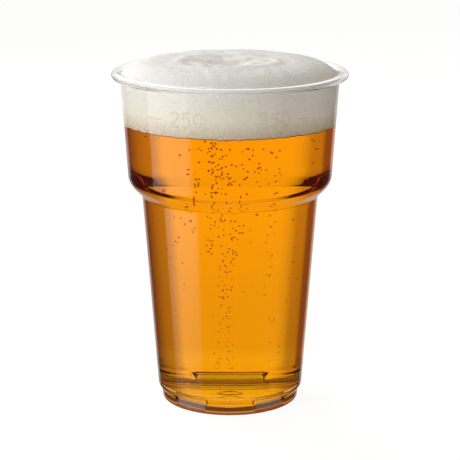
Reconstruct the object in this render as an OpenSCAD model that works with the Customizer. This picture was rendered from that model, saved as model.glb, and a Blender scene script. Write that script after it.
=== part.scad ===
// Clear plastic cup of beer: a stepped quarter-litre cup, the beer in it and the head of foam on top.
// Origin: middle of the cup's standing face. +Z is up, -Y is the front. Millimetres.

/* [Cup] */
// Diameter over the rolled rim
rim_d = 78; // [76:0.5:94]
// Height from the standing face to the top of the rim
cup_h = 112; // [93:0.5:136]
// Height of the rolled rim
rim_h = 2.6; // [2.2:0.1:3.4]
// Outer diameter of the wall where it turns into the rim
mouth_d = 72.2; // [69:0.1:74]
// Outer diameter of the upper wall where it meets the shoulder
shoulder_d = 67.5; // [63:0.1:70]
// Height of the inner corner below the shoulder
neck_z = 70.5; // [58:0.5:82]
// Outer diameter below the shoulder
neck_d = 58.6; // [54:0.1:62]
// Outer diameter at the bottom of the lower wall
body_d = 48.8; // [48:0.1:57]
// Wall thickness
wall = 0.7; // [0.55:0.05:0.85]
// Thickness of the floor
floor_t = 2.1; // [1.8:0.05:2.4]

/* [Foot] */
// Outer diameter at the top of the foot
foot_d = 46.6; // [46:0.1:47.4]
// Height of the foot up to the ledge
foot_h = 3.4; // [3:0.1:4.2]
// How far the ledge inside the cup lies above the ledge outside
ledge_lift = 1.5; // [1.3:0.1:1.8]
// How much the foot narrows to its bottom edge, on the diameter
foot_draft = 0.6; // [0:0.1:1]
// Width of the standing ring
ring_w = 1.6; // [1.2:0.1:2.4]
// Depth of the hollow under the floor
recess_h = 0.6; // [0.4:0.1:0.9]
// Number of stacking lugs
lug_count = 5; // [3:1:7]
// Angle that one stacking lug spans
lug_angle = 30; // [18:1:36]
// How far a lug is pressed in from the foot
lug_depth = 0.8; // [0.5:0.1:1.2]
// Lower edge of a lug's outer recess
lug_z0 = 1.2; // [1:0.1:2]
// Upper edge of a lug's outer recess
lug_z1 = 4.4; // [4.2:0.1:5]

/* [Fill mark] */
// Height of the fill mark
mark_z = 100.6; // [97:0.1:104]
// Length of one dash of the fill mark
mark_len = 6; // [3:0.5:9]
// Height of a dash
mark_h = 0.5; // [0.3:0.1:1]
// How far a dash stands out of the wall
mark_relief = 0.2; // [0.1:0.05:0.3]
// Angle of each dash from the front
mark_angle = 42; // [20:1:60]

/* [Beer] */
// Level of the beer
beer_z = 95; // [86:0.5:99]
// Gap between the contents and the cup, and between beer and foam
fit = 0.03; // [0.02:0.01:0.05]

/* [Foam] */
// Depth of the foam's edge below the top of the rim
edge_drop = 1.6; // [1.4:0.1:3]
// Rise of the foam's dome above its edge
dome_rise = 5; // [2:0.5:9]
// Exponent of the dome's section: larger is flatter on top
dome_power = 8; // [4:0.5:12]
// Radius of the sunken patch on top
crater_r = 16; // [8:1:20]
// Depth of the sunken patch
crater_depth = 1.5; // [0:0.1:3]
// Height of the lip round the sunken patch
lip_rise = 0.35; // [0:0.05:1]
// Height of the folds in the sunken patch
fold_rise = 0.35; // [0:0.05:0.8]

/* [Hidden] */

SHOULDER_ROUND = 6;
NECK_ROUND = 1;
LEDGE_ROUND = 2;
FOOT_ROUND = 0.8;
EDGE_ROUND = 0.6;
FLOOR_ROUND = 0.8;
ARC_STEP = 9;
CURL_END = -105;
CURL_STEPS = 20;
CRATER_AT = [-1.5, -6];
FOAM_SIDES = 60;
FOAM_RINGS = 14;
JOIN = 0.3;
LUG_EDGE = 0.4;
CUT_PAST = 1;
$fn = 120;

// Radii and heights that follow from the sizes above
rim_r = rim_d / 2;
mouth_r = mouth_d / 2;
shoulder_r = shoulder_d / 2;
neck_r = neck_d / 2;
body_r = body_d / 2;
foot_r = foot_d / 2;
base_r = foot_r - foot_draft / 2;
floor_z = recess_h + floor_t;
curl_z = cup_h - rim_h / 2;
curl_r = (rim_r + mouth_r - wall) / 2;
curl_a = (rim_r - mouth_r + wall) / 2;
lug_face = foot_r - lug_depth;
lug_side = atan(wall / lug_face);
foam_z0 = beer_z + fit;
foam_edge_z = cup_h - edge_drop;

// The outside of the wall, from the standing face to the rim. The shoulder and the ledge are 45 degree slopes.
OUTSIDE = [
    [base_r, 0],
    [foot_r, foot_h],
    [body_r, foot_h + body_r - foot_r],
    [neck_r, neck_z],
    [shoulder_r, neck_z + shoulder_r - neck_r],
    [mouth_r, curl_z],
];
// Outside rounding at each corner of the wall; a positive one bulges outwards
BULGE = [0, -FOOT_ROUND, LEDGE_ROUND, -NECK_ROUND, SHOULDER_ROUND, 0];

function unit(v) = v / norm(v);
function left(v) = [-v.y, v.x];
// Corner b of the path a-b-c, moved w to the left of the path
function mitred(a, b, c, w) =
    let (m = left(unit(b - a)), n = left(unit(c - b)))
    b + w * (m + n) / (1 + m * n);
// Point of the straight line a-b at height z
function at_height(a, b, z) = a + (b - a) * (z - a.y) / (b.y - a.y);
// Turn from angle a to angle b the short way round
function turn(a, b) = let (t = b - a) t > 180 ? t - 360 : t < -180 ? t + 360 : t;
// Corner b of the path a-b-c as an arc of radius r
function arc_at(a, b, c, r) =
    let (
        u = unit(a - b),
        v = unit(c - b),
        half = acos(u * v) / 2,
        mid = b + unit(u + v) * r / sin(half),
        p = b + u * r / tan(half) - mid,
        q = b + v * r / tan(half) - mid,
        from = atan2(p.y, p.x),
        sweep = turn(from, atan2(q.y, q.x)),
        n = max(2, ceil(abs(sweep) / ARC_STEP))
    )
    [for (i = [0:n]) let (t = from + sweep * i / n) mid + r * [cos(t), sin(t)]];
// A stretch of ellipse about [r, z]
function ellipse(r, z, a, b, from, to, n) =
    [for (i = [0:n]) let (t = from + (to - from) * i / n) [r + a * cos(t), z + b * sin(t)]];

// The corners of the wall, moved w inwards, without its two ends. Inside the wall, the ledge's two lie higher.
function corners(w) =
    [for (i = [1:len(OUTSIDE) - 2])
        mitred(OUTSIDE[i - 1], OUTSIDE[i], OUTSIDE[i + 1], w) + [0, w > 0 && i < 3 ? ledge_lift : 0]];
// The straight parts end on these points
function foot_end(w, z) =
    let (c = corners(w), d = OUTSIDE[1] - OUTSIDE[0])
    at_height(c[0], c[0] - d, z);
function top_end(w, z) =
    let (c = corners(w), d = OUTSIDE[5] - OUTSIDE[4])
    at_height(c[3], c[3] + d, z);
// The wall's line moved w inwards, from height z0 on the foot to height z1 on the upper wall
function wall_line(w, z0, z1) =
    let (p = concat([foot_end(w, z0)], corners(w), [top_end(w, z1)]))
    [for (i = [1:len(p) - 2]) each arc_at(p[i - 1], p[i], p[i + 1], abs(BULGE[i] - w))];

// Section of the space inside the cup, moved fit_gap inwards from its wall and up from its floor
function inside(fit_gap, z1) =
    let (
        w = wall + fit_gap,
        z0 = floor_z + fit_gap,
        corner = foot_end(w, z0)
    )
    concat(
        [[0, z0]],
        arc_at([0, z0], corner, corners(w)[0], FLOOR_ROUND),
        wall_line(w, z0, z1),
        [top_end(w, z1), [0, z1]]
    );

// Section of the cup's wall and floor, with the rim rolled outwards and down
function cup_section() =
    let (
        edge = foot_end(0, 0),
        ring_r = edge.x - ring_w,
        shell = inside(0, curl_z)
    )
    concat(
        [[0, recess_h], [ring_r - recess_h, recess_h], [ring_r, 0]],
        arc_at([ring_r, 0], edge, OUTSIDE[1], EDGE_ROUND),
        wall_line(0, 0, curl_z),
        ellipse(curl_r, curl_z, curl_a - wall, rim_h / 2 - wall, 180, CURL_END, CURL_STEPS),
        ellipse(curl_r, curl_z, curl_a, rim_h / 2, CURL_END, 180, CURL_STEPS),
        [for (i = [len(shell) - 3:-1:0]) shell[i]]
    );

// One stretch of a ring, centred on the front and turned by a
module arc_piece(a, span, section) {
    rotate([0, 0, a - 90 - span / 2]) rotate_extrude(angle = span) polygon(section);
}

// Turns its children to each stacking lug; a lug is opposite the front and a gap faces it
module at_lugs() {
    for (i = [0:lug_count - 1]) rotate([0, 0, 180 + i * 360 / lug_count]) children();
}

// The hollow of a lug, pressed into the foot and the ledge from outside
module lug_recess() {
    arc_piece(0, lug_angle, [
        [lug_face, lug_z0],
        [body_r + CUT_PAST, lug_z0],
        [body_r + CUT_PAST, lug_z1 + LUG_EDGE],
        [lug_face, lug_z1],
    ]);
}

// The bump that a lug makes inside the cup, one wall thicker than its hollow
module lug_bump(gap) {
    r = lug_face - wall - gap;
    z = lug_z1 + wall + gap;
    foot = foot_end(wall / 2, floor_z - floor_t / 2);
    body = at_height(OUTSIDE[2], OUTSIDE[3], z) - [wall / 2, 0];
    arc_piece(0, lug_angle + 2 * lug_side + gap, [
        [r, foot.y],
        foot,
        corners(wall / 2)[0],
        body,
        [r + LUG_EDGE, z],
        [r, z - LUG_EDGE],
    ]);
}

// A raised dash of the fill mark on the upper wall
module mark_dash(a) {
    low = top_end(0, mark_z - mark_h / 2);
    high = top_end(0, mark_z + mark_h / 2);
    span = mark_len / low.x * 180 / PI;
    arc_piece(a, span, [
        low - [JOIN, 0],
        low + [mark_relief, 0],
        high + [mark_relief, 0],
        high - [JOIN, 0],
    ]);
}

module cup() {
    color([0.93, 0.94, 0.94, 0.35]) difference() {
        union() {
            rotate_extrude() polygon(cup_section());
            at_lugs() lug_bump(0);
            for (side = [-1, 1]) mark_dash(side * mark_angle);
        }
        at_lugs() lug_recess();
    }
}

module beer() {
    color([0.93, 0.56, 0.06]) difference() {
        rotate_extrude() polygon(inside(fit, beer_z));
        at_lugs() lug_bump(fit);
    }
}

// Height of the foam's top at radius r and angle a: a dome with a sunken, folded patch
foam_r = top_end(wall + fit, foam_edge_z).x;
function foam_top(r, a) =
    let (
        p = r * [cos(a), sin(a)],
        q = norm(p - CRATER_AT) / crater_r,
        hollow = q < 1 ? pow(1 - q * q, 2) : 0,
        lip = exp(-pow((q - 1) / 0.22, 2)) * (1 - pow(r / foam_r, 6)),
        fold = sin(23 * p.x + 40 * sin(9 * p.y)) * cos(31 * p.y + 50 * sin(7 * p.x)),
        swell = sin(5 * p.x + 20) * cos(4 * p.y - 30) * (1 - pow(r / foam_r, 2))
    )
    foam_edge_z
    + dome_rise * (1 - pow(r / foam_r, dome_power))
    - crater_depth * hollow
    + lip_rise * lip
    + fold_rise * hollow * fold
    + fold_rise * swell;

// The foam as rings of points: its flat bottom, its side on the wall, and its domed top
module foam() {
    bottom_r = top_end(wall + fit, foam_z0).x;
    step = 360 / FOAM_SIDES;
    n = FOAM_SIDES;
    bottom = [for (j = [0:n - 1]) [bottom_r * cos(j * step), bottom_r * sin(j * step), foam_z0]];
    rings = [for (i = [0:FOAM_RINGS - 1], j = [0:n - 1])
        let (r = foam_r * (1 - i / FOAM_RINGS), a = j * step)
        [r * cos(a), r * sin(a), foam_top(r, a)]];
    points = concat(bottom, rings, [[0, 0, foam_z0], [0, 0, foam_top(0, 0)]]);
    low = len(points) - 2;
    top = len(points) - 1;
    bands = [for (i = [0:FOAM_RINGS - 1], j = [0:n - 1])
        let (k = (j + 1) % n, a = i * n + j, b = i * n + k, c = a + n, d = b + n)
        each [[a, c, d], [a, d, b]]];
    caps = [for (j = [0:n - 1])
        let (k = (j + 1) % n, inner = FOAM_RINGS * n)
        each [[j, k, low], [inner + k, inner + j, top]]];
    color([0.94, 0.93, 0.9]) polyhedron(points, concat(bands, caps), convexity = 4);
}

cup();
beer();
foam();
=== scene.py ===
"""A clear stepped plastic cup of beer with a domed head of foam, in metres in the CAD model's frame."""

import math

import bpy
import numpy as np
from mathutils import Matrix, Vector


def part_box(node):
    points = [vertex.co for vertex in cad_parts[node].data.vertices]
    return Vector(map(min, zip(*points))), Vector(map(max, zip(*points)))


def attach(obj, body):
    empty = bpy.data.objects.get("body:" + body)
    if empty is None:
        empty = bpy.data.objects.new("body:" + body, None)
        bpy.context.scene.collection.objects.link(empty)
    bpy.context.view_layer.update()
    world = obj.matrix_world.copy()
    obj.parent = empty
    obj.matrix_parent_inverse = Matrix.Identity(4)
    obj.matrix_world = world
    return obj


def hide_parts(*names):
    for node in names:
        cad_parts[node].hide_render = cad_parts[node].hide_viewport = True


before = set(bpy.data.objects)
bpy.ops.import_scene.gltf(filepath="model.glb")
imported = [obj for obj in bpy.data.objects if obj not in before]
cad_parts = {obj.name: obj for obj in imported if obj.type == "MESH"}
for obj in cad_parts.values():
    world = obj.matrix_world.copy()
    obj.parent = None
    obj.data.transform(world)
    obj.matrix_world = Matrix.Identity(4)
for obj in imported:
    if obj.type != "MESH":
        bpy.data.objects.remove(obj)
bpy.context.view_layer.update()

MM = 0.001
SEED = 11

# Places that come from the frame, in millimetres
CUP_LOW, CUP_HIGH = (np.array(corner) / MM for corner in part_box("cup"))
BEER_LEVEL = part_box("beer")[1][2] / MM
RIM_R = (CUP_HIGH[0] - CUP_LOW[0]) / 2
CUP_H = CUP_HIGH[2]

# Sizes of the cup, in millimetres
WALL = 0.7
RIM_H = 2.6
MOUTH_R = 36.1
SHOULDER_R = 33.75
NECK_R = 29.3
NECK_Z = 70.5
BODY_R = 24.4
FOOT_R = 23.3
BASE_R = 23.0
FOOT_H = 3.4
RING_W = 1.6
RING_EDGE = 0.6
RECESS_H = 0.6
FLOOR_Z = 2.7
FLOOR_EDGE = 0.8
LEDGE_LIFT = 1.5
LEDGE_EDGE = 0.4
LUG_COUNT = 5
LUG_ANGLE = 30
LUG_FACE = 22.5
LUG_Z0 = 1.2
LUG_Z1 = 4.4
LUG_SOFT = 1
MARK_Z = 100.6
MARK_ANGLE = 42
MARK_LEN = 6
MARK_H = 0.5
MARK_RELIEF = 0.2
FIGURES_ANGLE = 23
FIGURE_PITCH = 3.9
FIGURE_LIFT = 0.4
STROKE_HALF = 0.42
GATE_R = 2.6
GATE_RELIEF = 0.25
CURL_Z = CUP_H - RIM_H / 2
CURL_R = (RIM_R + MOUTH_R - WALL) / 2
CURL_A = (RIM_R - MOUTH_R + WALL) / 2
CURL_END = -105

# How far the sides of the contents stand in from the outside of the wall, and how far the beer reaches down
# into the floor and up into the foam
BEER_INSET = 0.4
FOAM_INSET = 0.32
BEER_SINK = 0.35
BEER_LAP = 0.5

# The outside of the wall as corners (radius, height), and the radius that rounds each one: above 0 where the
# corner points outwards, below 0 where it points inwards
OUTSIDE = np.array([
    (BASE_R, 0),
    (FOOT_R, FOOT_H),
    (BODY_R, FOOT_H + BODY_R - FOOT_R),
    (NECK_R, NECK_Z),
    (SHOULDER_R, NECK_Z + SHOULDER_R - NECK_R),
    (MOUTH_R, CURL_Z),
])
ROUNDING = (0, -0.8, 2, -1, 6, 0)


# ---------------------------------------------------------------- outlines

def unit(v):
    """A vector divided by its length."""
    return v / np.linalg.norm(v)


def left(v):
    """A vector turned a quarter turn to the left."""
    return np.array((-v[1], v[0]))


def mitred(a, b, c, w):
    """Corner b of the path a-b-c moved w to the left: b plus w times the sum of both normals, over 1 plus
    their dot product."""
    m, n = left(unit(b - a)), left(unit(c - b))
    return b + w * (m + n) / (1 + m @ n)


def arc_at(a, b, c, r, n=12):
    """Corner b of the path a-b-c as an arc of radius r: its middle lies on the bisector at r over the sine
    of half the angle, and its ends at r over the tangent along each side."""
    u, v = unit(a - b), unit(c - b)
    half = math.acos(u @ v) / 2
    middle = b + unit(u + v) * r / math.sin(half)
    start, end = (b + side * r / math.tan(half) - middle for side in (u, v))
    first = math.atan2(start[1], start[0])
    sweep = (math.atan2(end[1], end[0]) - first + math.pi) % (2 * math.pi) - math.pi
    t = first + sweep * np.linspace(0, 1, n + 1)
    return middle + r * np.column_stack((np.cos(t), np.sin(t)))


def wall_curve(w):
    """The wall's line moved w inwards, as points of rising height: its mitred corners, each rounded."""
    corners = [mitred(*OUTSIDE[i - 1:i + 2], w) for i in range(1, 5)]
    if w > 0:
        corners[0] = corners[0] + (0, LEDGE_LIFT)
        corners[1] = corners[1] + (0, LEDGE_LIFT)
    start = corners[0] + (OUTSIDE[0] - OUTSIDE[1]) * 2
    end = corners[-1] + (OUTSIDE[5] - OUTSIDE[4]) * 1.2
    path = [start, *corners, end]
    rounds = [abs(ROUNDING[i] - w) for i in range(1, 5)]
    if w > 0:
        rounds[:2] = LEDGE_EDGE, LEDGE_EDGE
    arcs = [arc_at(*path[i:i + 3], rounds[i]) for i in range(4)]
    return np.concatenate([[start], *arcs, [end]])


def wall_radius(z, w):
    """Radius at height z of the wall's line moved w inwards, read off its curve."""
    curve = wall_curve(w)
    return np.interp(z, curve[:, 1], curve[:, 0])


def steps(*stops):
    """Heights from stop to stop: each pair gives a stop and the step that leads to it."""
    out = [np.array([stops[0]])]
    for here, (there, step) in zip((stops[0], *[s[0] for s in stops[1:]]), stops[1:]):
        n = max(1, round(abs(there - here) / step))
        out.append(np.linspace(here, there, n + 1)[1:])
    return np.concatenate(out)


def smooth(x):
    """0 below 0, 1 above 1, and 3x2 - 2x3 between."""
    x = np.clip(x, 0, 1)
    return x * x * (3 - 2 * x)


def window(x, half, soft):
    """1 where |x| is under half, falling to 0 over a width of soft."""
    return smooth((half - np.abs(x)) / soft + 0.5)


# ---------------------------------------------------------------- surfaces

def revolved(name, r, z, angles):
    """A turned surface with its own radius at each angle: row i, column j lies at radius r[i, j], angle
    angles[j] and height z[i, j]. Rows run from the bottom pole round the outside to the top pole. Quads
    join neighbours, and a fan of triangles closes each end on the axis."""
    rows, cols = r.shape
    ring = np.stack((r * np.cos(angles), r * np.sin(angles), z), axis=-1).reshape(-1, 3)
    poles = np.array([(0, 0, z[0].mean()), (0, 0, z[-1].mean())])
    verts = np.concatenate((ring, poles)) * MM
    i, j = np.meshgrid(np.arange(rows - 1), np.arange(cols), indexing="ij")
    k = (j + 1) % cols
    here, above = i * cols, (i + 1) * cols
    quads = np.stack((here + j, here + k, above + k, above + j), axis=-1).reshape(-1, 4)
    j = np.arange(cols)
    k = (j + 1) % cols
    last, low, top = (rows - 1) * cols, rows * cols, rows * cols + 1
    fan_low = np.stack((k, j, np.full(cols, low)), axis=-1)
    fan_top = np.stack((last + j, last + k, np.full(cols, top)), axis=-1)
    return mesh_object(name, verts, quads, np.concatenate((fan_low, fan_top)))


def mesh_object(name, verts, quads, tris):
    """A smooth-shaded mesh object from arrays of points, quads and triangles."""
    mesh = bpy.data.meshes.new(name)
    mesh.vertices.add(len(verts))
    mesh.vertices.foreach_set("co", verts.astype(np.float32).ravel())
    corners = np.concatenate((quads.ravel(), tris.ravel())).astype(np.int32)
    mesh.loops.add(len(corners))
    mesh.loops.foreach_set("vertex_index", corners)
    starts = np.concatenate((np.arange(len(quads)) * 4, len(quads) * 4 + np.arange(len(tris)) * 3))
    mesh.polygons.add(len(starts))
    mesh.polygons.foreach_set("loop_start", starts.astype(np.int32))
    mesh.update(calc_edges=True)
    mesh.validate()
    mesh.shade_smooth()
    piece = bpy.data.objects.new(name, mesh)
    bpy.context.scene.collection.objects.link(piece)
    return piece


# ---------------------------------------------------------------- cup

FRONT = -90


def lug_centres():
    """Angles in degrees of the stacking lugs: one opposite the front, the rest spaced evenly."""
    return FRONT + 180 + np.arange(LUG_COUNT) * 360 / LUG_COUNT


def turned(angle, centre):
    """Angle measured from a centre, between -180 and 180 degrees."""
    return (angle - centre + 180) % 360 - 180


def cup_angles():
    """Columns round the cup in degrees: wide steps, with fine ones at the sides of each lug and across the
    fill mark. A column too near the one before it is left out."""
    wide, fine, fine_at_lug, least = 1.8, 0.5, 0.45, 0.15
    coarse = np.arange(0, 360, wide)
    beside = np.arange(-1.2, 3.0, fine_at_lug)
    sides = [c + s * (LUG_ANGLE / 2 + beside) for c in lug_centres() for s in (-1, 1)]
    marks = [FRONT + s * np.arange(9, 49, fine) for s in (-1, 1)]
    every = np.unique(np.round(np.concatenate((coarse, *sides, *marks)) % 360, 3))
    keep = np.concatenate(([True], np.diff(every) > least))
    return every[keep]


def pressed(r, z, angles, w):
    """Radius of the wall where the stacking lugs press it in: inside a lug's window of angle and height it
    is no more than the lug's face, moved w inwards like the wall."""
    side = math.degrees(w / LUG_FACE)
    across = sum(window(turned(angles, c), LUG_ANGLE / 2 + side, LUG_SOFT) for c in lug_centres())
    low = LUG_Z0 - 3 * w
    middle, half = (low + LUG_Z1 + w) / 2, (LUG_Z1 + w - low) / 2
    up = window(z - middle, half, 0.4)
    face = LUG_FACE - w
    return r + (np.minimum(r, face) - r) * across * up


def stroke(u, v, ax, ay, bx, by):
    """Distance from points (u, v) to the straight stroke from a to b."""
    dx, dy = bx - ax, by - ay
    t = np.clip(((u - ax) * dx + (v - ay) * dy) / (dx * dx + dy * dy), 0, 1)
    return np.hypot(u - ax - t * dx, v - ay - t * dy)


def bow(u, v, cx, cy, rx, ry, start, end):
    """Distance from points (u, v) to the stretch of ellipse between two angles in degrees, drawn as 24
    short strokes."""
    n = 24
    t = np.radians(np.linspace(start, end, n + 1))
    x, y = cx + rx * np.cos(t), cy + ry * np.sin(t)
    near = [stroke(u, v, x[i], y[i], x[i + 1], y[i + 1]) for i in range(n)]
    return np.minimum.reduce(near)


def figure(u, v, digit):
    """Distance to the strokes of a plain digit, about 2.6 wide and 4.6 high, with its middle at 0."""
    if digit == "0":
        return bow(u, v, 0, 0, 1.3, 2.3, 0, 360)
    if digit == "2":
        return np.minimum.reduce([
            bow(u, v, 0, 1.1, 1.25, 1.2, -20, 165),
            stroke(u, v, 1.17, 0.7, -1.3, -2.3),
            stroke(u, v, -1.3, -2.3, 1.3, -2.3),
        ])
    return np.minimum.reduce([
        bow(u, v, -0.1, -0.8, 1.35, 1.5, -140, 130),
        stroke(u, v, -0.97, 0.35, -0.8, 2.3),
        stroke(u, v, -0.8, 2.3, 1.2, 2.3),
    ])


def fill_mark(z, angles):
    """Height of the fill mark's relief on both halves of the front: the plain number 250, with a dash
    outside it. Each stroke falls to the wall over a width of soft."""
    soft = 0.3
    arc = math.radians(1) * wall_radius(MARK_Z, 0)
    relief = np.zeros(np.broadcast(z, angles).shape)
    for side in (-1, 1):
        u = turned(angles, FRONT + side * MARK_ANGLE) * arc
        dash = window(u, MARK_LEN / 2, soft) * window(z - MARK_Z, MARK_H / 2, soft)
        relief = np.maximum(relief, dash)
        for place, digit in enumerate("250"):
            u = turned(angles, FRONT + side * FIGURES_ANGLE) * arc - (place - 1) * FIGURE_PITCH
            near = figure(u, z - MARK_Z - FIGURE_LIFT, digit)
            relief = np.maximum(relief, smooth((STROKE_HALF - near) / soft))
    return relief * MARK_RELIEF


def rim_rows():
    """The rolled rim as stretches of two ellipses round one middle: from the outside of the wall round the
    hollow to the lip's end, then back over the top to the inside of the wall."""
    t = np.radians(np.linspace(180, CURL_END, 17))
    halves = ((CURL_A - WALL, RIM_H / 2 - WALL), (CURL_A, RIM_H / 2))
    hollow, skin = (np.column_stack((CURL_R + a * np.cos(t), CURL_Z + b * np.sin(t))) for a, b in halves)
    return hollow[1:], skin[::-1][:-1]


def floor_rows():
    """The inside of the floor: its rounded edge, then the flat, with a fine raised ring at radius GATE_R
    where the plastic was let in. The ring is a bell curve."""
    half = 0.35
    wall_r = wall_radius(FLOOR_Z, WALL)
    path = np.array([(wall_r + 0.1, 8), (wall_r, FLOOR_Z), (0, FLOOR_Z)])
    r = np.array([20, 14, 8, 5, 4, 3.6, 3.3, 3.0, 2.8, 2.6, 2.4, 2.2, 1.9, 1.6, 1.0])
    z = FLOOR_Z + GATE_RELIEF * np.exp(-((r - GATE_R) / half) ** 2)
    return arc_at(*path, FLOOR_EDGE, 6), np.column_stack((r, z))


# The cup's finishes, in the order of its list of materials
CLEAR, WET_WALL, WET_FLOOR, ROLLED = range(4)
MARK_SATIN = 0.38


def cup_piece():
    """The cup's closed section carried round its axis: floor underside, standing ring, outside of the wall,
    rolled rim, inside of the wall and floor. Lugs are pressed into both faces, and the fill mark stands out
    of the outer one. Rows are close together where the wall bends, at the lugs and across the mark."""
    angles = cup_angles()
    ring_r = BASE_R - RING_W
    under = np.array([(3, RECESS_H), (12, RECESS_H), (ring_r - 1, RECESS_H), (ring_r - 0.5, RECESS_H * 0.85),
                      (ring_r - 0.2, RECESS_H * 0.35), (ring_r, 0.06), (ring_r + 0.12, 0)])
    edge = arc_at(np.array((ring_r, 0)), OUTSIDE[0], OUTSIDE[1], RING_EDGE, 5)
    out_z = steps(edge[-1, 1] + 0.2, (LUG_Z1 + 2.2, 0.17), (NECK_Z - 1.5, 6.5), (NECK_Z + 1.3, 0.28),
                  (NECK_Z + 2.5, 0.5), (NECK_Z + 7.5, 0.42), (MARK_Z - 3, 4), (MARK_Z + 3.2, 0.19),
                  (CURL_Z, 1.6))
    in_z = steps(CURL_Z, (NECK_Z + 8.5, 5), (NECK_Z + 3.1, 0.45), (NECK_Z + 0.7, 0.35), (NECK_Z - 1.5, 0.5),
                 (FLOOR_Z + 5.6, 6.5), (FLOOR_Z + 0.9, 0.17))
    out_side = np.column_stack((wall_radius(out_z, 0), out_z))
    in_side = np.column_stack((wall_radius(in_z, WALL), in_z))
    hollow, lip = rim_rows()
    corner, floor = floor_rows()
    stretches = ((under, CLEAR), (edge, CLEAR), (out_side, CLEAR), (hollow, ROLLED), (lip, ROLLED),
                 (in_side, WET_WALL), (corner, WET_FLOOR), (floor, WET_FLOOR))
    rows = np.concatenate([points for points, _ in stretches])
    finish_of = np.concatenate([np.full(len(points), look) for points, look in stretches])
    outer, inner = (np.concatenate([np.full(len(points), points is side) for points, _ in stretches])
                    for side in (out_side, in_side))
    finish_of[inner & (rows[:, 1] > BEER_LEVEL)] = CLEAR
    r, z = (np.repeat(column[:, None], len(angles), axis=1) for column in rows.T)
    for side, w in ((outer, 0), (inner, WALL)):
        r[side] = pressed(r[side], z[side], angles, w)
    relief = fill_mark(z, angles) * outer[:, None]
    piece = revolved("cup_wall", r + relief, z, np.radians(angles))
    fans = [CLEAR] * len(angles) + [WET_FLOOR] * len(angles)
    indices = np.append(np.repeat(finish_of[1:], len(angles)), fans).astype(np.int32)
    piece.data.polygons.foreach_set("material_index", indices)
    across = sum(window(turned(angles, c), LUG_ANGLE / 2 - 1, LUG_SOFT) for c in lug_centres())
    on_face = outer[:, None] & (z > LUG_Z0) & (z < LUG_Z1 + 0.2)
    # Satin faces and marks: rougher, and tinted tan as painted amber light
    mark_points(piece, "satin", on_face * across + MARK_SATIN * relief / MARK_RELIEF)
    # Where the beer's amber light is painted onto the clear foot
    mark_points(piece, "foot", outer[:, None] * window(z - FOOT_H, 3.8, 1.5))
    return piece


def mark_points(piece, name, values):
    """Stores a number for each grid point of a revolved surface, with 0 at its two poles."""
    data = piece.data.attributes.new(name, "FLOAT", "POINT").data
    data.foreach_set("value", np.append(np.asarray(values, np.float32).ravel(), (0, 0)).astype(np.float32))


# ---------------------------------------------------------------- beer

def beer_rows():
    """The beer's section: bottom, rounded edge, side on the wall and the flat top that the foam hides. The
    last rows of the side are close together, which keeps its shading true up to the foam."""
    low, high, edge = FLOOR_Z - BEER_SINK, BEER_LEVEL + BEER_LAP, 0.9
    wall_r = wall_radius(low, BEER_INSET)
    path = np.array([(0, low), (wall_r, low), (wall_r + 0.1, low + 6)])
    corner = arc_at(*path, edge, 8)
    bottom = np.column_stack((np.linspace(2, corner[0, 0] - 1.5, 6), np.full(6, low)))
    side_z = steps(low + edge + 0.1, (FLOOR_Z + 5.6, 0.2), (NECK_Z - 1.5, 6.5), (NECK_Z + 0.9, 0.3),
                   (NECK_Z + 2.9, 0.4), (NECK_Z + 8.5, 0.45), (high - 0.4, 4), (high, 0.2))
    side = np.column_stack((wall_radius(side_z, BEER_INSET), side_z))
    top = np.column_stack(((34, 30, 20, 10, 3), np.full(5, high)))
    return np.concatenate((bottom, corner, side, top))


def beer_piece():
    """The beer, from just inside the floor to just inside the foam: its section carried round the axis and
    pressed in by the lugs. Columns are fine at the sides of each lug."""
    wide, fine = 2, 0.4
    beside = np.arange(-1.5, 3.5, fine)
    sides = [(c + s * LUG_ANGLE / 2 + beside) % 360 for c in lug_centres() for s in (-1, 1)]
    angles = np.unique(np.concatenate((np.arange(0, 360, wide), *sides)))
    r, z = (np.repeat(column[:, None], len(angles), axis=1) for column in beer_rows().T)
    return revolved("beer_body", pressed(r, z, angles, BEER_INSET), z, np.radians(angles))


def wave_noise(x, y, size, rng, waves=14):
    """Smooth noise about -1 to 1: the sum of plane waves of random direction, phase and length near size,
    over the root of their number."""
    total = np.zeros(np.broadcast(x, y).shape)
    for _ in range(waves):
        a, phase = rng.uniform(0, 2 * np.pi), rng.uniform(0, 2 * np.pi)
        k = rng.uniform(0.7, 1.4) * 2 * np.pi / size
        total += np.sin(k * (x * math.cos(a) + y * math.sin(a)) + phase)
    return total / math.sqrt(waves)


# ---------------------------------------------------------------- foam

DOME_RISE = 5
DOME_POWER = 8
EDGE_DROP = 1.6
CRATER_AT = (-1.5, -6)
CRATER_R = 16
CRATER_DEPTH = 1.5
CRATER_LIP = 0.55
FOLD_RISE = 0.55

# Ripples on the top: height, size, number of waves, and how late they fade towards the wall
RIPPLES = ((0.22, 15, 8, 2), (0.06, 4.5, 14, 8), (0.022, 1.9, 14, 8))


def foam_height(x, y, edge_r):
    """Height of the foam above its edge: a dome, flat on top and steep at the wall, less a sunken patch
    with a raised lip, plus folds inside that patch and ripples that fade towards the wall."""
    rng = np.random.default_rng(SEED)
    s = np.minimum(np.hypot(x, y) / edge_r, 1)
    dx, dy = x - CRATER_AT[0], y - CRATER_AT[1]
    q = np.hypot(dx, dy * 1.05) / CRATER_R * (1 + 0.07 * wave_noise(dx, dy, 26, rng, 6))
    hollow = np.where(q < 1, (1 - q * q) ** 2, 0)
    lip = np.exp(-((q - 1) / 0.16) ** 2) * (1 - s ** 6)
    bend = wave_noise(x, y, 22, rng, 6) * 3
    folds = wave_noise(x + bend, (y + bend) * 2.1, 13, rng, 8) * smooth(1.15 - q)
    height = DOME_RISE * (1 - s ** DOME_POWER) - CRATER_DEPTH * hollow + CRATER_LIP * lip + FOLD_RISE * folds
    for rise, size, waves, late in RIPPLES:
        height += rise * wave_noise(x, y, size, rng, waves) * (1 - s ** late)
    return height


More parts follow.
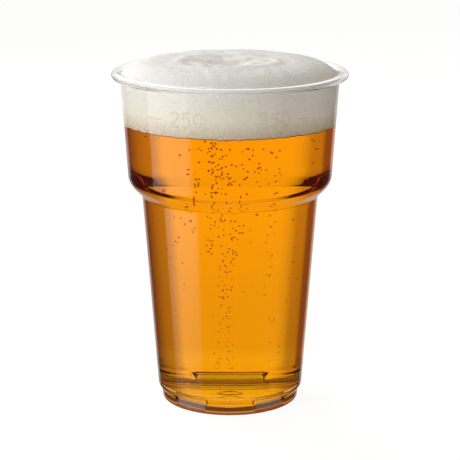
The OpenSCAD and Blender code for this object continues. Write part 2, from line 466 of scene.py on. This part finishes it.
def foam_piece():
    """The head: its side on the wall, with an uneven lower edge that hangs lowest at left and right, and
    its domed top. The side's rows crowd towards that edge, and the top's rows close in evenly on the
    axis."""
    rng = np.random.default_rng(SEED + 1)
    angles = np.radians(np.arange(0, 360, 0.8))
    edge_z = CUP_H - EDGE_DROP
    edge_r = wall_radius(edge_z, FOAM_INSET)
    low = BEER_LEVEL - 0.9 * np.cos(angles) ** 8
    for rise, size in ((0.12, 9), (0.1, 2.2)):
        low += rise * wave_noise(angles * 34, 0, size, rng)
    side_z = low + (edge_z - low) * np.linspace(0, 1, 24)[:, None] ** 2.2
    bottom_r = np.repeat(np.array([5, 15, 25, 32, 34])[:, None], len(angles), axis=1)
    top_r = np.repeat(edge_r * (1 - np.linspace(0, 1, 92)[1:-1, None]), len(angles), axis=1)
    top_z = edge_z + foam_height(top_r * np.cos(angles), top_r * np.sin(angles), edge_r)
    r = np.concatenate((bottom_r, wall_radius(side_z, FOAM_INSET), top_r))
    z = np.concatenate((np.full(bottom_r.shape, BEER_LEVEL), side_z, top_z))
    piece = revolved("foam_head", r, z, angles)
    mark_points(piece, "wetness", 1 - smooth((z - low - 0.14) / 0.2))
    return piece


# ---------------------------------------------------------------- bubbles

def ball():
    """A ball of unit radius as a small icosahedron-based mesh of 80 faces: points and triangles."""
    g = (1 + 5 ** 0.5) / 2
    v = [(-1, g, 0), (1, g, 0), (-1, -g, 0), (1, -g, 0), (0, -1, g), (0, 1, g), (0, -1, -g), (0, 1, -g),
         (g, 0, -1), (g, 0, 1), (-g, 0, -1), (-g, 0, 1)]
    f = [(0, 11, 5), (0, 5, 1), (0, 1, 7), (0, 7, 10), (0, 10, 11), (1, 5, 9), (5, 11, 4), (11, 10, 2),
         (10, 7, 6), (7, 1, 8), (3, 9, 4), (3, 4, 2), (3, 2, 6), (3, 6, 8), (3, 8, 9), (4, 9, 5), (2, 4, 11),
         (6, 2, 10), (8, 6, 7), (9, 8, 1)]
    points = [np.array(p, float) for p in v]
    faces = []
    middles = {}
    for a, b, c in f:
        m = []
        for p, q in ((a, b), (b, c), (c, a)):
            key = (min(p, q), max(p, q))
            if key not in middles:
                middles[key] = len(points)
                points.append((points[p] + points[q]) / 2)
            m.append(middles[key])
        faces += [(a, m[0], m[2]), (b, m[1], m[0]), (c, m[2], m[1]), tuple(m)]
    points = np.array(points)
    return points / np.linalg.norm(points, axis=1)[:, None], np.array(faces)


# Streams of bubbles: place (x, y), lowest and highest bubble, and how many there are
STREAMS = (
    (-5.5, -19, 55, 93, 50),
    (-3.5, -24, 64, 93, 28),
    (-2.6, -17, 6, 93, 70),
    (0.2, -18, 6, 93, 90),
    (4.0, -22, 62, 93, 20),
    (12.5, -17, 24, 93, 34),
    (9.5, -24, 74, 93, 10),
    (-10, -19, 62, 93, 16),
    (-17, -14, 20, 60, 14),
)
LOOSE_BUBBLES = 90
WAVER = 0.9


def bubble_piece():
    """Rising gas bubbles: streams that waver as they climb, as a sine of height, and some that float loose.
    Each is a ball whose radius grows with height, kept clear of the wall."""
    rng = np.random.default_rng(SEED + 2)
    places = []
    for x, y, z0, z1, n in STREAMS:
        z = rng.uniform(z0, z1, n)
        phase = rng.uniform(0, 6.3)
        across = x + WAVER * np.sin(z / 9 + phase) + rng.normal(0, 0.35 + 0.7 * z / BEER_LEVEL, n)
        along = y + WAVER * np.cos(z / 11 + phase) + rng.normal(0, 0.8, n)
        places.append(np.column_stack((across, along, z)))
    a = rng.uniform(0, 2 * np.pi, LOOSE_BUBBLES)
    out = np.sqrt(rng.uniform(0, 0.8, LOOSE_BUBBLES))
    z = 94 * rng.uniform(0, 1, LOOSE_BUBBLES) ** 0.45
    out *= np.interp(z, (0, 10, 70, 80, 95), (20, 22, 27, 31, 32))
    places.append(np.column_stack((out * np.cos(a), out * np.sin(a), np.maximum(z, 3))))
    centres = np.concatenate(places)
    reach = wall_radius(centres[:, 2], WALL) - 1.2
    centres[:, :2] *= np.minimum(1, reach / np.hypot(centres[:, 0], centres[:, 1]))[:, None]
    radii = (0.15 + 0.17 * centres[:, 2] / BEER_LEVEL) * rng.uniform(0.75, 1.25, len(centres))
    points, faces = ball()
    verts = (centres[:, None, :] + radii[:, None, None] * points).reshape(-1, 3) * MM
    tris = (faces[None] + (np.arange(len(centres)) * len(points))[:, None, None]).reshape(-1, 3)
    return mesh_object("rising_bubbles", verts, np.zeros((0, 4), int), tris)


# ---------------------------------------------------------------- materials

def colour(code):
    """An sRGB hex colour as linear RGBA."""
    c = np.array([int(code[i:i + 2], 16) for i in (1, 3, 5)]) / 255
    c = np.where(c <= 0.04045, c / 12.92, ((c + 0.055) / 1.055) ** 2.4)
    return (*map(float, c), 1.0)


def material(name):
    """A new node material and its Principled shader, with nothing else in it."""
    made = bpy.data.materials.new(name)
    made.use_nodes = True
    return made, made.node_tree.nodes["Principled BSDF"]


def node(made, kind, settings=None, **links):
    """Adds a node. Settings are values of its sockets, by name or number, or its properties; links say
    which output feeds each named socket."""
    new = made.node_tree.nodes.new(kind)
    for key, value in (settings or {}).items():
        if isinstance(key, int) or key in new.inputs:
            new.inputs[key].default_value = value
        else:
            setattr(new, key, value)
    for key, source in links.items():
        made.node_tree.links.new(source, new.inputs[key.replace("_", " ")])
    return new


def link(made, output, socket):
    """Feeds a socket from an output."""
    made.node_tree.links.new(output, socket)


def paint(ramp, stops):
    """Gives a colour ramp its stops, each a place from 0 to 1 and a hex colour."""
    while len(ramp.color_ramp.elements) < len(stops):
        ramp.color_ramp.elements.new(0.5)
    for element, (place, tint) in zip(ramp.color_ramp.elements, stops):
        element.position = place
        element.color = colour(tint)


def height_share(made, low, high, start=0.0, end=1.0):
    """Output that runs from start to end as a point on the piece rises from low to high, in millimetres."""
    place = node(made, "ShaderNodeTexCoord")
    split = node(made, "ShaderNodeSeparateXYZ", Vector=place.outputs["Object"])
    share = node(made, "ShaderNodeMapRange",
                 {"From Min": low * MM, "From Max": high * MM, "To Min": start, "To Max": end},
                 Value=split.outputs["Z"])
    return share.outputs["Result"]


POLYSTYRENE_IOR = 1.5
BEER_IOR = 1.34


def clear_polystyrene():
    """Crystal polystyrene, injection moulded and polished: clear and glassy, with highlights that waver a
    little. The foot is tinted gold as painted light, for the beer's amber light that the clear ring gathers.
    The lugs' faces and the fill mark are satin."""
    made, shader = material("crystal_polystyrene_moulded")
    shader.inputs["IOR"].default_value = POLYSTYRENE_IOR
    satin = node(made, "ShaderNodeAttribute", {"attribute_name": "satin"})
    for socket, polished, pressed_in in (("Roughness", 0.015, 0.25), ("Transmission Weight", 1.0, 0.8)):
        grade = node(made, "ShaderNodeMapRange", {"To Min": polished, "To Max": pressed_in},
                     Value=satin.outputs["Fac"])
        link(made, grade.outputs["Result"], shader.inputs[socket])
    # Painted light: the foot's gold stands for the beer's amber light gathered in the clear plastic
    foot = node(made, "ShaderNodeAttribute", {"attribute_name": "foot"})
    gold = node(made, "ShaderNodeMix", {"data_type": "RGBA", 6: colour("#FBFCFC"), 7: colour("#FFBC50")})
    link(made, foot.outputs["Fac"], gold.inputs[0])
    # Painted light: the tan mixed in on satin faces and marks stands for the beer's amber light in them
    satin_painted_amber = node(made, "ShaderNodeMix", {"data_type": "RGBA", 7: colour("#CDB49A")})
    link(made, satin.outputs["Fac"], satin_painted_amber.inputs[0])
    link(made, gold.outputs[2], satin_painted_amber.inputs[6])
    link(made, satin_painted_amber.outputs[2], shader.inputs["Base Color"])
    flow_ripple(made, shader)
    return made


def flow_ripple(made, shader):
    """The faint ripple that plastic leaves as it flows up a mould: swells about 7 mm across, four times as
    high."""
    place = node(made, "ShaderNodeTexCoord")
    stretch = node(made, "ShaderNodeMapping", {"Scale": (1.0, 1.0, 0.25)}, Vector=place.outputs["Object"])
    flow = node(made, "ShaderNodeTexNoise", {"Scale": 1 / (7 * MM), "Detail": 1.5, "Roughness": 0.4},
                Vector=stretch.outputs["Vector"])
    bump = node(made, "ShaderNodeBump", {"Strength": 0.02, "Distance": 0.15 * MM},
                Height=flow.outputs["Fac"])
    link(made, bump.outputs["Normal"], shader.inputs["Normal"])


def rolled_polystyrene():
    """The same plastic where the rim is rolled over: two thin skins round a hollow, a little hazy, so the
    rim is a soft white line with thin grey edges."""
    made, shader = material("polystyrene_rim_rolled")
    shader.inputs["Base Color"].default_value = colour("#FBFCFC")
    shader.inputs["Roughness"].default_value = 0.06
    shader.inputs["IOR"].default_value = 1.25
    shader.inputs["Transmission Weight"].default_value = 1.0
    return made


def wetted_polystyrene(name):
    """The same plastic where beer wets it: liquid and plastic bend light nearly alike, so this face hardly
    reflects."""
    made, shader = material(name)
    shader.inputs["Base Color"].default_value = colour("#FFFFFF")
    shader.inputs["Specular Tint"].default_value = colour("#000000")
    shader.inputs["Roughness"].default_value = 0.0
    shader.inputs["IOR"].default_value = POLYSTYRENE_IOR
    shader.inputs["Transmission Weight"].default_value = 1.0
    flow_ripple(made, shader)
    return made, shader


def wetted_floor():
    """Wetted plastic of the floor, which is clear."""
    made, _ = wetted_polystyrene("polystyrene_floor_wet_with_beer")
    return made


def wetted_wall():
    """Wetted plastic of the wall, which carries the gold of the beer against it. The gold is the beer's own
    colour, but how it pales and deepens with height is painted light and shade: pale at the ledge, deepest
    just above it, and a little paler up to the neck. Places are shares of the neck's height."""
    made, shader = wetted_polystyrene("polystyrene_wall_wet_with_beer")
    height = height_share(made, 0, NECK_Z)
    # Painted light and shade: the beer is one colour, and this ramp's changes with height stand for how
    # light falls through it
    gold = node(made, "ShaderNodeValToRGB", Fac=height)
    paint(gold, ((0.1, "#FFF59A"), (0.19, "#ECAA3A"), (0.5, "#EEAA3A"), (1.0, "#FFB73C")))
    link(made, gold.outputs["Color"], shader.inputs["Base Color"])
    return made


def lager():
    """Filtered lager: a clear liquid that takes out blue and some green, so it is gold where thin and amber
    where deep. A slow swirl in its surface stands for the cup's uneven inner wall, and its bottom, which
    the plastic wets, doesn't reflect."""
    made, shader = material("filtered_lager_clear")
    shader.inputs["Base Color"].default_value = colour("#FFFFFF")
    shader.inputs["Roughness"].default_value = 0.0
    shader.inputs["IOR"].default_value = BEER_IOR
    shader.inputs["Transmission Weight"].default_value = 1.0
    link(made, height_share(made, 3.2, 3.6, 1.0, 0.0), shader.inputs["Specular Tint"])
    place = node(made, "ShaderNodeTexCoord")
    swirl = node(made, "ShaderNodeTexNoise", {"Scale": 1 / (11 * MM), "Detail": 1.0},
                 Vector=place.outputs["Object"])
    bump = node(made, "ShaderNodeBump", {"Strength": 0.03, "Distance": 0.5 * MM},
                Height=swirl.outputs["Fac"])
    link(made, bump.outputs["Normal"], shader.inputs["Normal"])
    depth = node(made, "ShaderNodeVolumeAbsorption", {"Color": (0.99, 0.9, 0.0, 1.0), "Density": 65.0})
    link(made, depth.outputs["Volume"], made.node_tree.nodes["Material Output"].inputs["Volume"])
    return made


def beer_foam():
    """Fresh beer foam, whipped by its own gas: off-white and soft to light, with a grain of tiny bubbles
    that is coarser down at the beer, and a wet brown line along its lower edge. Its colour turns warmer down
    at the beer as painted light, for the amber light that the beer sends up into it. The grain's
    cells of 0.55 and 1.1 mm are drawn coarser than such foam's, so that they show."""
    made, shader = material("beer_foam_fresh")
    shader.inputs["Roughness"].default_value = 0.7
    shader.inputs["IOR"].default_value = BEER_IOR
    shader.inputs["Subsurface Weight"].default_value = 0.25
    shader.inputs["Subsurface Radius"].default_value = (1.0, 0.85, 0.6)
    shader.inputs["Subsurface Scale"].default_value = 3 * MM
    place = node(made, "ShaderNodeTexCoord").outputs["Object"]
    height = height_share(made, BEER_LEVEL, CUP_H)
    # Painted light: warmer towards the beer, for the amber light the beer gives the foam
    tint = node(made, "ShaderNodeValToRGB", Fac=height)
    paint(tint, ((0.0, "#E6D4B8"), (0.12, "#EDE1CC"), (0.32, "#F4EEE2"), (0.8, "#F4F0E8"),
                 (0.98, "#F2F1ED")))
    cells = node(made, "ShaderNodeTexVoronoi", {"Scale": 1 / (0.55 * MM)}, Vector=place)
    beads = node(made, "ShaderNodeTexVoronoi", {"Scale": 1 / (1.1 * MM)}, Vector=place)
    grain = node(made, "ShaderNodeTexNoise", {"Scale": 1 / (0.9 * MM), "Detail": 3.0}, Vector=place)
    low = node(made, "ShaderNodeMapRange", {"From Max": 0.35, "To Min": 0.26, "To Max": 0.04}, Value=height)
    dark = node(made, "ShaderNodeMath", {"operation": "MULTIPLY"})
    link(made, beads.outputs["Distance"], dark.inputs[0])
    link(made, low.outputs["Result"], dark.inputs[1])
    fine = node(made, "ShaderNodeMapRange",
                {"From Min": 0.15, "From Max": 0.75, "To Min": 1.03, "To Max": 0.93},
                Value=cells.outputs["Distance"])
    speck = node(made, "ShaderNodeMath", {"operation": "SUBTRACT"})
    link(made, fine.outputs["Result"], speck.inputs[0])
    link(made, dark.outputs["Value"], speck.inputs[1])
    shade = node(made, "ShaderNodeMix", {"data_type": "RGBA", "blend_type": "MULTIPLY", 0: 1.0})
    link(made, tint.outputs["Color"], shade.inputs[6])
    link(made, speck.outputs["Value"], shade.inputs[7])
    wetness = node(made, "ShaderNodeAttribute", {"attribute_name": "wetness"})
    line = node(made, "ShaderNodeMix", {"data_type": "RGBA", 7: colour("#8A3A0C")})
    link(made, wetness.outputs["Fac"], line.inputs[0])
    link(made, shade.outputs[2], line.inputs[6])
    link(made, line.outputs[2], shader.inputs["Base Color"])
    both = node(made, "ShaderNodeMath", {"operation": "ADD"})
    link(made, cells.outputs["Distance"], both.inputs[0])
    link(made, grain.outputs["Fac"], both.inputs[1])
    bump = node(made, "ShaderNodeBump", {"Strength": 0.35, "Distance": 0.25 * MM},
                Height=both.outputs["Value"])
    link(made, bump.outputs["Normal"], shader.inputs["Normal"])
    return made


def gas_bubble():
    """Carbon dioxide in a skin of beer: a tiny lens that bends light out of sight, so it looks like a dark
    amber speck. Its faint glow stands for the amber light round it."""
    made, shader = material("gas_bubble_in_beer")
    shader.inputs["Base Color"].default_value = colour("#6E3418")
    shader.inputs["Roughness"].default_value = 0.1
    shader.inputs["IOR"].default_value = BEER_IOR
    shader.inputs["Emission Color"].default_value = colour("#A0501E")
    shader.inputs["Emission Strength"].default_value = 1.0
    return made


def finish(piece, finishes, node_name=None):
    """Gives a piece its materials and its body, and lets it stand for a CAD node."""
    for made in finishes:
        piece.data.materials.append(made)
    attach(piece, "root")
    if node_name:
        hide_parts(node_name)


cup_wall = cup_piece()
cup_finishes = [clear_polystyrene(), wetted_wall(), wetted_floor(), rolled_polystyrene()]
finish(cup_wall, cup_finishes, "cup")
cup_wall.visible_shadow = False
finish(beer_piece(), [lager()], "beer")
finish(foam_piece(), [beer_foam()], "foam")
finish(bubble_piece(), [gas_bubble()])


# ---------------------------------------------------------------- studio, in metres

AIM_HEIGHT = 0.11


def soft_light(name, place, size, power, tint):
    """A square soft light of a size in metres, aimed at the top of the cup."""
    lamp = bpy.data.lights.new(name, "AREA")
    lamp.shape = "SQUARE"
    lamp.size = size
    lamp.energy = power
    lamp.color = colour(tint)[:3]
    placed = bpy.data.objects.new(name, lamp)
    bpy.context.scene.collection.objects.link(placed)
    x, y, z = np.array(place) - (0, 0, AIM_HEIGHT)
    placed.location = place
    placed.rotation_euler = (math.atan2(math.hypot(x, y), z), 0, math.atan2(x, -y))
    placed.visible_transmission = False


def staged(name, verts, faces, made, **seen_by):
    """A stage piece that only the named kinds of ray can see."""
    mesh = bpy.data.meshes.new(name)
    mesh.from_pydata(verts, [], faces)
    mesh.materials.append(made)
    piece = bpy.data.objects.new(name, mesh)
    bpy.context.scene.collection.objects.link(piece)
    for kind in ("camera", "diffuse", "glossy", "transmission", "shadow"):
        setattr(piece, f"visible_{kind}", seen_by.get(kind, False))
    return piece


def pale_floor():
    """Seamless white paper, lit so evenly that shadows hardly show."""
    made, shader = material("white_paper_floor")
    shader.inputs["Base Color"].default_value = colour("#5A5A5A")
    shader.inputs["Roughness"].default_value = 0.9
    shader.inputs["Emission Color"].default_value = colour("#FFFFFF")
    shader.inputs["Emission Strength"].default_value = 0.93
    corners = [(-3, -3, 0), (3, -3, 0), (3, 3, 0), (-3, 3, 0)]
    staged("floor", corners, [(0, 1, 2, 3)], made, camera=True, diffuse=True, shadow=True)


def shade_in_foot():
    """The shade inside the standing ring, where light from above is spent: an upright band, brown above,
    with a lighter line where the ring's bevel lets light in, and amber at the very foot."""
    made, shader = material("amber_shade_of_foot")
    shader.inputs["Base Color"].default_value = colour("#000000")
    shader.inputs["Emission Strength"].default_value = 1.0
    ramp = node(made, "ShaderNodeValToRGB", Fac=height_share(made, 0, 2.5))
    paint(ramp, ((0.0, "#8E4A14"), (0.2, "#8E4A14"), (0.27, "#B09280"), (0.45, "#B09280"), (0.52, "#6B3510"),
                 (1.0, "#6B3510")))
    link(made, ramp.outputs["Color"], shader.inputs["Emission Color"])
    n, radius, heights = 90, 21.6, (0.05, 2.25)
    t = np.linspace(0, 2 * np.pi, n, endpoint=False)
    low, high = (np.column_stack((radius * np.cos(t), radius * np.sin(t), np.full(n, z))) for z in heights)
    faces = [(j, (j + 1) % n, n + (j + 1) % n, n + j) for j in range(n)]
    staged("shade_in_foot", np.concatenate((low, high)) * MM, faces, made, transmission=True, glossy=True)


CARD_AWAY = 0.5
CARD_SPAN = (-40, -94)
CARD_HEIGHTS = (-0.3, 0.6)
CARD_LEVEL = 1.35


def tall_card():
    """A tall white card at the front left, seen only as its reflection in the cup. It stands between two
    angles round from the front, and fades out at its foot and at its front edge."""
    made, shader = material("tall_white_card")
    shader.inputs["Base Color"].default_value = colour("#000000")
    shader.inputs["Emission Color"].default_value = colour("#FFFFFF")
    place = node(made, "ShaderNodeTexCoord")
    split = node(made, "ShaderNodeSeparateXYZ", Vector=place.outputs["Object"])
    foot = node(made, "ShaderNodeMapRange", {"From Min": -0.26, "From Max": -0.1, "To Max": CARD_LEVEL},
                Value=split.outputs["Z"])
    edge = node(made, "ShaderNodeMapRange", {"From Min": -0.385, "From Max": -0.325},
                Value=split.outputs["Y"])
    fade = node(made, "ShaderNodeMath", {"operation": "MULTIPLY"})
    link(made, foot.outputs["Result"], fade.inputs[0])
    link(made, edge.outputs["Result"], fade.inputs[1])
    link(made, fade.outputs["Value"], shader.inputs["Emission Strength"])
    near, far = (CARD_AWAY * np.array((np.sin(t), -np.cos(t))) for t in np.radians(CARD_SPAN))
    low, high = CARD_HEIGHTS
    corners = [(*near, low), (*far, low), (*far, high), (*near, high)]
    staged("tall_card", corners, [(0, 1, 2, 3)], made, glossy=True)


# What is seen through the cup: degrees round from straight behind it, and the backdrop's colour there
BACKDROP = (
    (-180, "#E6E2DC"),
    (-90, "#E6E2DC"),
    (-66, "#CABAA6"),
    (-52, "#826A56"),
    (-43, "#826A56"),
    (-38, "#C2B6A8"),
    (-29, "#C6BDB1"),
    (-23, "#F0EEEA"),
    (-18, "#FFFFFF"),
    (20, "#FFFFFF"),
    (26, "#C4BAAC"),
    (38, "#A89A88"),
    (52, "#5E4C3C"),
    (70, "#5E4C3C"),
    (95, "#E6E2DC"),
    (180, "#E6E2DC"),
)
BACKDROP_LEVEL = 1.12

# The light of the open room on the foam
ROOM_GLOW = "#AAA398"

# What the cup's surface mirrors: the white backdrop, which only the cup's edges can mirror, and a dim room
REFLECTION = (
    (-180, "#303030"),
    (-32, "#303030"),
    (-24, "#CCC6C0"),
    (24, "#CCC6C0"),
    (32, "#303030"),
    (180, "#303030"),
)


def backdrop():
    """A white backdrop that is darker and warmer at both sides, so that the cup's edges are drawn in amber.
    The open room lights the foam softly, is mirrored only dimly, and is plain white to the camera."""
    world = bpy.data.worlds.new("studio")
    bpy.context.scene.world = world
    world.use_nodes = True
    shader = world.node_tree.nodes["Background"]
    place = node(world, "ShaderNodeTexCoord")
    split = node(world, "ShaderNodeSeparateXYZ", Vector=place.outputs["Generated"])
    angle = node(world, "ShaderNodeMath", {"operation": "ARCTAN2"})
    link(world, split.outputs["X"], angle.inputs[0])
    link(world, split.outputs["Y"], angle.inputs[1])
    share = node(world, "ShaderNodeMapRange", {"From Min": -math.pi, "From Max": math.pi},
                 Value=angle.outputs["Value"])
    behind, mirrored = (node(world, "ShaderNodeValToRGB", Fac=share.outputs["Result"]) for _ in range(2))
    for ramp, stops in ((behind, BACKDROP), (mirrored, REFLECTION)):
        paint(ramp, [((degrees + 180) / 360, tint) for degrees, tint in stops])
    level = node(world, "ShaderNodeVectorMath", {"operation": "SCALE", "Scale": BACKDROP_LEVEL})
    link(world, behind.outputs["Color"], level.inputs[0])
    ray = node(world, "ShaderNodeLightPath")
    glossy = node(world, "ShaderNodeMix", {"data_type": "RGBA", 6: colour(ROOM_GLOW)})
    link(world, ray.outputs["Is Glossy Ray"], glossy.inputs[0])
    link(world, mirrored.outputs["Color"], glossy.inputs[7])
    through = node(world, "ShaderNodeMix", {"data_type": "RGBA"})
    link(world, ray.outputs["Is Transmission Ray"], through.inputs[0])
    link(world, glossy.outputs[2], through.inputs[6])
    link(world, level.outputs["Vector"], through.inputs[7])
    straight = node(world, "ShaderNodeMix", {"data_type": "RGBA", 7: colour("#FFFFFF")})
    link(world, ray.outputs["Is Camera Ray"], straight.inputs[0])
    link(world, through.outputs[2], straight.inputs[6])
    link(world, straight.outputs[2], shader.inputs["Color"])


CAMERA_AT = (0, -0.5512, 0.1952)
CAMERA_TIP = 14.01
LENS = 132.3


def camera():
    """A long lens above the rim's height, tipped down at the cup by an angle in degrees."""
    lens = bpy.data.cameras.new("camera")
    lens.sensor_width = 36
    lens.lens = LENS
    placed = bpy.data.objects.new("camera", lens)
    bpy.context.scene.collection.objects.link(placed)
    placed.location = CAMERA_AT
    placed.rotation_euler = (math.radians(90 - CAMERA_TIP), 0, 0)
    bpy.context.scene.camera = placed


pale_floor()
shade_in_foot()
tall_card()
soft_light("key", (-0.5, -0.2, 0.34), 0.4, 1.75, "#F4F9FF")
soft_light("top", (-0.3, 0.42, 0.48), 0.5, 2.8, "#F6FAFF")
backdrop()
camera()
bpy.context.scene.view_settings.view_transform = "Standard"

# Light crosses many faces of plastic, beer and bubbles before it is out again
bpy.context.scene.cycles.max_bounces = 24
bpy.context.scene.cycles.transmission_bounces = 24
bpy.context.scene.cycles.sample_clamp_indirect = 8
